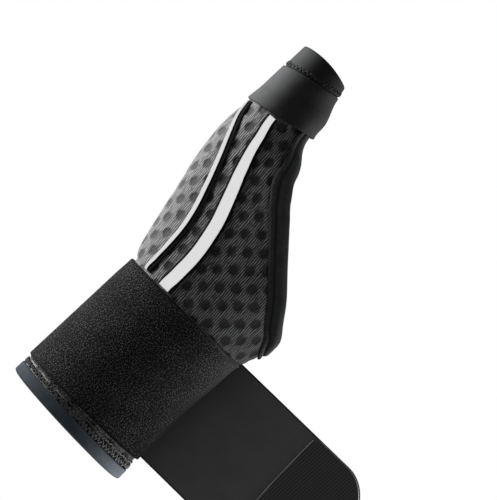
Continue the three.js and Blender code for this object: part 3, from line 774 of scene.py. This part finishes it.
# %% A helper for node graphs
class Finish:
    """A material with one shader. Numbers go straight on the shader, patterns come in by links."""

    def __init__(self, name, **sockets):
        self.material = bpy.data.materials.new(name)
        self.material.use_nodes = True
        self.tree = self.material.node_tree
        self.shader = self.tree.nodes["Principled BSDF"]
        for socket, value in sockets.items():
            self.shader.inputs[socket.replace("_", " ")].default_value = value

    def add(self, kind, output=0, settings=None, **sockets):
        """Adds a node, sets or links its sockets by name and returns one output."""
        node = self.tree.nodes.new("ShaderNode" + kind)
        for key, value in (settings or {}).items():
            setattr(node, key, value)
        for socket, value in sockets.items():
            self.feed(node.inputs[socket.replace("_", " ")], value)
        return node.outputs[output]

    def feed(self, socket, value):
        """Links an output, or sets a number."""
        if isinstance(value, bpy.types.NodeSocket):
            self.tree.links.new(value, socket)
        else:
            socket.default_value = value

    def math(self, operation, *values):
        """One Math node on up to three values."""
        node = self.tree.nodes.new("ShaderNodeMath")
        node.operation = operation
        for socket, value in zip(node.inputs, values):
            self.feed(socket, value)
        return node.outputs[0]

    def times(self, *values):
        """All the values multiplied."""
        product = values[0]
        for value in values[1:]:
            product = self.math("MULTIPLY", product, value)
        return product

    def scaled(self, value, factor, plus):
        """value · factor + plus."""
        return self.math("MULTIPLY_ADD", value, factor, plus)

    def cloth(self):
        """The two flat-cloth coordinates in millimetres, and both as a vector."""
        places = self.add("UVMap", settings={"uv_map": "cloth"})
        split = self.tree.nodes.new("ShaderNodeSeparateXYZ")
        self.tree.links.new(places, split.inputs[0])
        return split.outputs[0], split.outputs[1], places

    def stretched(self, along, across):
        """The cloth's coordinates times two factors, for grain that is longer one way."""
        u, v, _ = self.cloth()
        return self.add("CombineXYZ", X=self.times(u, along), Y=self.times(v, across))

    def noise(self, vector, scale, detail=2.0, roughness=0.5):
        """Noise from 0 to 1; scale counts features per millimetre."""
        return self.add("TexNoise", Vector=vector, Scale=scale, Detail=detail, Roughness=roughness)

    def wave(self, value, pitch, shift=0.0):
        """0.5 + 0.5 · cos(2π · value / pitch + shift)."""
        turned = self.scaled(value, 2 * np.pi / pitch, shift)
        return self.scaled(self.math("COSINE", turned), 0.5, 0.5)

    def step(self, value, low, high, start=0.0, end=1.0):
        """A smooth step from start to end between low and high."""
        return self.add("MapRange", settings={"interpolation_type": "SMOOTHSTEP"}, Value=value,
                        From_Min=low, From_Max=high, To_Min=start, To_Max=end)

    def shades(self, factor, *stops):
        """A colour ramp through (place, colour) stops, for the shader's colour; one number is a grey."""
        node = self.tree.nodes.new("ShaderNodeValToRGB")
        ramp = node.color_ramp
        for _ in stops[2:]:
            ramp.elements.new(0.5)
        for element, (place, colour) in zip(ramp.elements, stops):
            element.position, element.color = place, (*np.broadcast_to(colour, 3), 1)
        self.tree.links.new(factor, node.inputs[0])
        self.tree.links.new(node.outputs[0], self.shader.inputs["Base Color"])

    def relief(self, height, depth_mm, strength=1.0):
        """Bump from a height of 0 to 1 that stands for a depth in millimetres."""
        bump = self.add("Bump", Height=height, Distance=depth_mm * MM, Strength=strength)
        self.tree.links.new(bump, self.shader.inputs["Normal"])


def wear(finish, *pieces):
    """Gives the finish to the pieces, in the order of the calls."""
    for piece in pieces:
        piece.data.materials.append(finish.material)


# %% [markdown]
# ### Spacer mesh
#
# Fine ribs run along the sleeve, 1.05 mm apart. Each is a chain of stitches that fades and comes
# back, so the ribs are multiplied by a noise that is long along them and short across. Their lighter
# tone is partly the knit and partly painted sheen on the raised wales. In the dimples the two faces are
# pressed together, and their darker colour is painted shade in the hollows. The raised cloth between
# the dimples gets a painted highlight.

# %% Finish the sleeve
spacer = Finish("spacer mesh", Roughness=0.85, Specular_IOR_Level=0.05, Sheen_Weight=0.05,
                Sheen_Roughness=0.4, Sheen_Tint=(0.9, 0.9, 0.92, 1))
u, v, uv = spacer.cloth()
rib_spacing = 1.05


def lattice_distance(finish, u, v):
    """The distance in millimetres to the nearest dimple, by the same two steps as in the surface."""
    inverse = np.linalg.inv(dimple_steps)
    start = dimple_start @ inverse
    left = []
    for k in range(2):
        count = finish.scaled(u, inverse[0, k], finish.scaled(v, inverse[1, k], -start[k]))
        left.append(finish.math("SUBTRACT", count, finish.math("ROUND", count)))
    x, y = (finish.scaled(left[0], first, finish.times(left[1], second)) for first, second in dimple_steps.T)
    return finish.math("SQRT", finish.scaled(x, x, finish.times(y, y)))


wobble = spacer.noise(uv, 0.35, detail=2.0)
distance = spacer.scaled(wobble, 0.45, lattice_distance(spacer, u, v))
hole = spacer.step(distance, 2.1, 2.9, 1.0, 0.0)
# The ribs lean a little to the thumb side, and bend round the dimples.
leaning = spacer.scaled(u, -0.1, v)
bent = spacer.scaled(wobble, 1.1, leaning)
ribs = spacer.step(spacer.wave(bent, rib_spacing), 0.1, 0.9)
runs = spacer.step(spacer.noise(spacer.stretched(0.25, 1.2), 0.9), 0.3, 0.66, 0.3, 1.0)
fluff = spacer.step(spacer.noise(uv, 1.6, detail=3.0, roughness=0.7), 0.2, 0.75, 0.5, 1.25)
# Painted highlight: the raised cloth between the dimples is made lighter.
bridge_highlight = spacer.step(distance, 2.4, 4.0, 0.85, 1.35)
knit = spacer.times(ribs, runs)
# The ribs' lighter tone is partly painted sheen, and the dimples are darkened as painted shade in their
# hollows.
light = spacer.times(
    spacer.scaled(knit, 0.95, 0.06), fluff, bridge_highlight, spacer.scaled(hole, -0.55, 1.0))
spacer.shades(light, (0.0, 0.001), (0.3, (0.0055, 0.0055, 0.0056)), (0.9, (0.031, 0.031, 0.0314)))
height = spacer.scaled(hole, -0.2, spacer.times(knit, 0.13))
spacer.relief(height, 0.5, 1.0)
wear(spacer, sleeve)

# %% [markdown]
# ### Brushed loops
#
# The strap's outer face is a pile of fine loops. Each tuft is about half a millimetre wide and reads
# as a light speck on near black. The specks come from one noise with a sharp step, and larger clumps
# make them denser or thinner. Along the sewn end a narrow band has no pile, and its cut edge carries a
# painted highlight.

# %% Finish the strap's two faces
pile = Finish("loop pile", Roughness=1.0, Specular_IOR_Level=0.02, Sheen_Weight=0.02,
              Sheen_Roughness=0.5, Sheen_Tint=(0.9, 0.9, 0.9, 1))
u, v, uv = pile.cloth()
tufts = pile.noise(uv, 1.6, detail=2.0, roughness=0.6)
clumps = pile.noise(uv, 0.1, detail=2.0)
selvedge = pile.step(pile.math("ABSOLUTE", u), strap_edge - 1.3, strap_edge - 0.5, 1.0, 0.0)
start_band = pile.step(v, 3.2, 4.0)
cover = pile.times(selvedge, start_band)
dense = pile.step(clumps, 0.3, 0.7, 0.75, 1.0)
grain = pile.times(pile.step(tufts, 0.45, 0.63), cover, dense)
smooth_part = pile.scaled(cover, -0.3, 0.36)
# Painted highlight: a pale line along the rim of the strap's sewn-on start edge.
edge_highlight = pile.step(v, 0.35, 0.75, 0.75, 0.0)
grain = pile.math("MAXIMUM", grain, pile.math("MAXIMUM", edge_highlight, smooth_part))
pile.shades(grain, (0.0, 0.0007), (0.4, 0.0034), (1.0, 0.032))
pile.relief(pile.times(tufts, cover), 0.8, 1.0)

lining = Finish("strap lining", Roughness=0.95, Specular_IOR_Level=0.05)
u, v, uv = lining.cloth()
soft = lining.noise(uv, 0.09, detail=2.0)
fine = lining.noise(uv, 2.2, detail=2.0)
tone = lining.scaled(soft, 0.25, lining.scaled(fine, 0.3, 0.25))
edge = lining.step(lining.math("ABSOLUTE", u), strap_edge - 1.1, strap_edge - 0.7, 1.0, 0.15)
tone = lining.times(tone, edge)
lining.shades(tone, (0.0, 0.004), (0.35, 0.022), (1.0, 0.044))
lining.relief(fine, 0.12, 0.6)
wear(pile, strap)
wear(lining, strap)

# %% [markdown]
# ### Tape, band and thread
#
# The binding tape is a smooth knit with a soft light along its roll, a little blue at the forearm end.
# The thumb band is a finer stretch knit, and its ribs are so close that only a silky light shows.
# Thread is fuzzy black polyester.

# %% Finish the tapes, the band and the thread
def edge_tape(name, depth, blue, groove=None):
    """A smooth knit with soft patches: depth and blue set its colour; groove is the place of the sewn groove,
    whose colour is darkened as painted shade.
    """
    tape = Finish(name, Roughness=0.8, Specular_IOR_Level=0.04, Sheen_Weight=0.012,
                  Sheen_Roughness=0.4, Sheen_Tint=(0.75, 0.85, 1.0, 1))
    u, v, uv = tape.cloth()
    patch = tape.noise(uv, 0.22, detail=3.0)
    weave = tape.times(tape.wave(u, 0.8), tape.wave(v, 0.6))
    tone = tape.scaled(weave, 0.25, tape.times(patch, 0.75))
    height = tape.scaled(weave, 0.2, patch)
    if groove:
        # Painted shade: the colour and the bump are darkened along the sewn groove.
        sewn = tape.step(tape.math("ABSOLUTE", tape.math("SUBTRACT", v, groove)), 0.25, 0.9)
        tone = tape.times(tone, sewn)
        height = tape.times(height, sewn)
    dark = (0.0035 + np.array([0, 0.0005, 0.0015]) * blue) * depth
    pale = (0.012 + np.array([0, 0.0025, 0.006]) * blue) * depth
    tape.shades(tone, (0.1, dark), (0.9, pale))
    tape.relief(height, 0.12, 0.5)
    return tape


wear(edge_tape("edge tape", 1.6, 1.0), forearm_tape)
wear(edge_tape("opening tape", 1.3, 0.15, palm_flange_width), palm_tape)
wear(edge_tape("hem tape", 0.45, 0.15), hem_tape)

stretch = Finish("stretch knit", Roughness=0.8, Specular_IOR_Level=0.05, Sheen_Weight=0.02,
                 Sheen_Roughness=0.35, Sheen_Tint=(0.9, 0.92, 0.95, 1))
u, v, uv = stretch.cloth()
ribs = stretch.wave(v, 0.62)
patch = stretch.noise(uv, 0.2, detail=2.0)
fine = stretch.noise(stretch.stretched(1.0, 0.7), 1.3, detail=3.0)
tone = stretch.scaled(patch, 0.45, stretch.times(fine, 0.55))
stretch.shades(tone, (0.3, (0.0021, 0.0022, 0.0023)), (0.7, (0.0068, 0.007, 0.0074)))
stretch.relief(stretch.scaled(fine, 0.8, stretch.times(ribs, 0.2)), 0.12, 0.6)
wear(stretch, band)


def sewing_thread(name, depth):
    """Fuzzy thread; depth scales its colour."""
    fuzzy = Finish(name, Roughness=0.9, Specular_IOR_Level=0.05, Sheen_Weight=0.03, Sheen_Roughness=0.4)
    u, v, uv = fuzzy.cloth()
    fuzz = fuzzy.noise(uv, 0.8, detail=2.0)
    fuzzy.shades(fuzz, (0.3, 0.006 * depth), (0.7, np.array([0.03, 0.0295, 0.029]) * depth))
    fuzzy.relief(fuzz, 0.3, 0.8)
    return fuzzy


wear(sewing_thread("forearm thread", 1.0), forearm_seam, forearm_chain)
wear(sewing_thread("opening thread", 0.5), palm_stitches)
wear(sewing_thread("hem thread", 0.35), hem_seam)

# %% [markdown]
# ### Film, backing and hooks
#
# The reflective film is pale silver with the fine grain of its glass beads. Its backing is flat black
# tape. The hook tape is moulded nylon with a little gloss; the crests of its ribs get a painted highlight,
# and its colour is pale along its start edge.

# %% Finish the stripes and the tab
film = Finish("silver film", Roughness=0.6, Specular_IOR_Level=0.2)
u, v, uv = film.cloth()
beads = film.noise(uv, 2.4, detail=2.0, roughness=0.6)
film.shades(beads, (0.3, (0.70, 0.70, 0.705)), (0.7, (0.78, 0.78, 0.785)))
film.relief(beads, 0.03, 0.4)
wear(film, wide_film, narrow_film)

backing = Finish("backing tape", Roughness=1.0, Specular_IOR_Level=0.0)
u, v, uv = backing.cloth()
weave = backing.times(backing.wave(u, 0.7), backing.wave(v, 0.7))
backing.shades(weave, (0.0, 0.0012), (1.0, 0.003))
backing.relief(weave, 0.08, 0.5)
wear(backing, wide_tape, narrow_tape)

hooks = Finish("hook tape", Roughness=0.6, Specular_IOR_Level=0.12)
u, v, uv = hooks.cloth()
# Painted highlight: the rib crests are lighter. The colour is also pale along the tab's start edge.
from_start = hooks.math("SUBTRACT", hooks.scaled(u, tab_tilt / strap_edge, v), tail_length - tab_length)
pale_start_line = hooks.step(from_start, 0.5, 1.0, 1.0, 0.0)
crest_highlight = hooks.wave(v, rib_pitch)
teeth = hooks.noise(uv, 1.4, detail=2.0)
tone = hooks.times(crest_highlight, hooks.scaled(teeth, 0.9, 0.3))
tone = hooks.math("MAXIMUM", hooks.times(tone, 0.55), pale_start_line)
hooks.shades(tone, (0.0, 0.0035), (0.5, (0.017, 0.017, 0.0165)), (1.0, (0.10, 0.10, 0.097)))
hooks.relief(teeth, 0.15, 0.6)
wear(hooks, tab)

# %% [markdown]
# ## Riding on the frame
#
# Every piece stands for one of the imported solids and moves with it. Each cloth is listed with the
# size that it was cut to, and the share of that flat rectangle that its area fills is printed. The flat
# areas are measured here from the finished pieces: half of a closed piece's surface is one side of the cloth.

# %% Tie the pieces to the solids
stands_for = {
    "sleeve": (sleeve, "mesh"), "forearm_binding": (forearm_tape, "tape"),
    "palm_binding": (palm_tape, "tape"), "thumb_hem": (hem_tape, "tape"),
    "thumb_band": (band, "band"), "wrist_strap": (strap, "pile"),
    "hook_tab": (tab, "hook"), "wide_backing": (wide_tape, "backing"), "wide_stripe": (wide_film, "silver"),
    "narrow_backing": (narrow_tape, "backing"), "narrow_stripe": (narrow_film, "silver"),
}
for node, (piece, slot) in stands_for.items():
    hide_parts(node)
    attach(piece, "root")
for stitches in (forearm_seam, forearm_chain, hem_seam, palm_stitches):
    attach(stitches, "root")


def cloth_area(piece):
    """Half of the sum of the mesh's face areas, in square metres."""
    areas = np.empty(len(piece.data.polygons), np.float32)
    piece.data.polygons.foreach_get("area", areas)
    return float(areas.sum() / 2)


for piece, _ in stands_for.values():
    print(f"{piece.name}: {cloth_area(piece) * 1e4:.1f} cm² of cloth")

# %% [markdown]
# The sleeve's rectangle is as long as the sleeve and as wide as its girth at the heel. A folded tape's
# is as wide as its two sides and the fold, and as long as the edge that it binds.

sheets = [
    # piece, flat width and length in metres, how it is held, what it lies on, what is sewn on it
    (sleeve, (0.199, 0.204), "stretched", [], [wide_tape, wide_film, narrow_tape, narrow_film]),
    (forearm_tape, (0.0136, 0.184), "folded", ["sleeve_cloth"], [forearm_seam, forearm_chain]),
    (palm_tape, (0.0166, 0.262), "folded", ["sleeve_cloth"], [palm_stitches]),
    (hem_tape, (0.0176, 0.078), "folded", ["sleeve_cloth"], [hem_seam]),
    (band, (0.0222, 0.1), "stretched", ["sleeve_cloth"], []),
    (strap, (0.064, 0.26), "stretched", ["sleeve_cloth"], [tab]),
]
for piece, flat, held, rests_on, sewn_on in sheets:
    area = min(cloth_area(piece), flat[0] * flat[1])
    print(f"{piece.name}: {area / (flat[0] * flat[1]):.2f} of its flat rectangle")

# %% [markdown]
# ## Stage, light and camera
#
# The photograph is a cut-out on white: black cloth lit from its thumb side and from its little-finger
# side, with little light from the front. A white world gives the ground tone. Large lamps above the
# thumb side draw the bright rim, and weaker ones below lift the little-finger side. Each lamp lights
# one group of parts, so that the mesh, the edges, the wrist and the forearm end get their own light.

# %% Set the stage
floor_radius, floor_height, floor_sides = 1.4, -0.42, 96
turn = np.linspace(0, 2 * np.pi, floor_sides, endpoint=False)
floor_mesh = bpy.data.meshes.new("floor")
rim_points = np.stack([floor_radius * np.cos(turn), floor_radius * np.sin(turn), 0 * turn + floor_height], -1)
floor_mesh.from_pydata(rim_points.tolist(), [], [tuple(range(floor_sides))])
floor = bpy.data.objects.new("floor", floor_mesh)
bpy.context.scene.collection.objects.link(floor)
pale = Finish("pale floor", Roughness=0.9, Specular_IOR_Level=0.1, Base_Color=(0.93, 0.93, 0.93, 1))
wear(pale, floor)

world = bpy.data.worlds.new("white studio")
world.use_nodes = True
world.node_tree.nodes["Background"].inputs["Color"].default_value = (1, 1, 1, 1)
world.node_tree.nodes["Background"].inputs["Strength"].default_value = 1.0
bpy.context.scene.world = world

# No lamp lights the silver film, which would burn out. The thumb end is nearer to the light than the
# forearm end is, so each has lamps of its own.
mesh_part, edge_part, wrist_part, forearm_part = (
    bpy.data.collections.new(name) for name in ("mesh part", "edge part", "wrist part", "forearm part"))
for part, pieces in (
    (mesh_part, (sleeve, wide_tape, narrow_tape)),
    (edge_part, (palm_tape, hem_tape, band, hem_seam, palm_stitches)),
    (wrist_part, (forearm_tape, strap, tab, forearm_seam, forearm_chain)),
    (forearm_part, (forearm_tape, forearm_seam, forearm_chain)),
):
    for piece in pieces:
        part.objects.link(piece)


def soft_lamp(name, place, target, size, power, receivers):
    """An area lamp at a place, turned to a target; the camera doesn't see it."""
    lamp = bpy.data.lights.new(name, "AREA")
    lamp.shape, lamp.size, lamp.energy = "DISK", size, power
    holder = bpy.data.objects.new(name, lamp)
    bpy.context.scene.collection.objects.link(holder)
    holder.location = place
    holder.rotation_mode = "QUATERNION"
    holder.rotation_quaternion = Vector(np.array(target) - np.array(place)).to_track_quat("-Z", "Y")
    holder.visible_camera = False
    holder.light_linking.receiver_collection = receivers


middle, forearm_middle = (0.06, 0, 0.0), (-0.04, 0, -0.02)
for name, place, target, size, power, receivers in (
    # name, place and target in metres, size in metres, power in watts, what it lights
    ("thumb side, on the mesh", (0.03, 0.08, 0.95), middle, 0.5, 190, mesh_part),
    ("thumb side, on the edges", (0, 0.2, 0.95), middle, 0.5, 140, edge_part),
    ("thumb side, on the wrist", (0, 0.15, 0.95), middle, 0.5, 50, wrist_part),
    ("little-finger side, on the mesh", (-0.09, -0.06, -0.42), middle, 0.35, 14, mesh_part),
    ("little-finger side, on the edges", (0.15, 0.1, -0.42), middle, 0.35, 14, edge_part),
    ("little-finger side, on the wrist", (0.15, 0.06, -0.42), middle, 0.35, 27, wrist_part),
    ("little-finger side, on the forearm end", (-0.05, 0.02, -0.42), forearm_middle, 0.35, 35, forearm_part),
):
    soft_lamp(name, place, target, size, power, receivers)

# %% [markdown]
# The camera looks along +Y at the palm side, turned so that the thumb end points up and to the right.
# It stands far off with a long lens, so that the round ends hardly bulge.

# %% Set the camera
camera_data = bpy.data.cameras.new("camera")
camera = bpy.data.objects.new("camera", camera_data)
bpy.context.scene.collection.objects.link(camera)
bpy.context.scene.camera = camera
frame_long_side, camera_distance, sensor_width = 0.229, 1.5, 36
camera_data.sensor_width = sensor_width
camera_data.lens = sensor_width * camera_distance / frame_long_side
right, up = unit(np.array([0.731, 0, -0.682])), unit(np.array([0.682, 0, 0.731]))
turned = Matrix(np.stack([right, up, np.cross(right, up)], 1).tolist())
camera.rotation_mode = "QUATERNION"
camera.rotation_quaternion = turned.to_quaternion()
view_x, view_z = 0.072, 0.0013
camera.location = (view_x, -camera_distance, view_z)
bpy.context.scene.view_settings.view_transform = "Standard"
print(f"lens {camera_data.lens:.0f} mm")
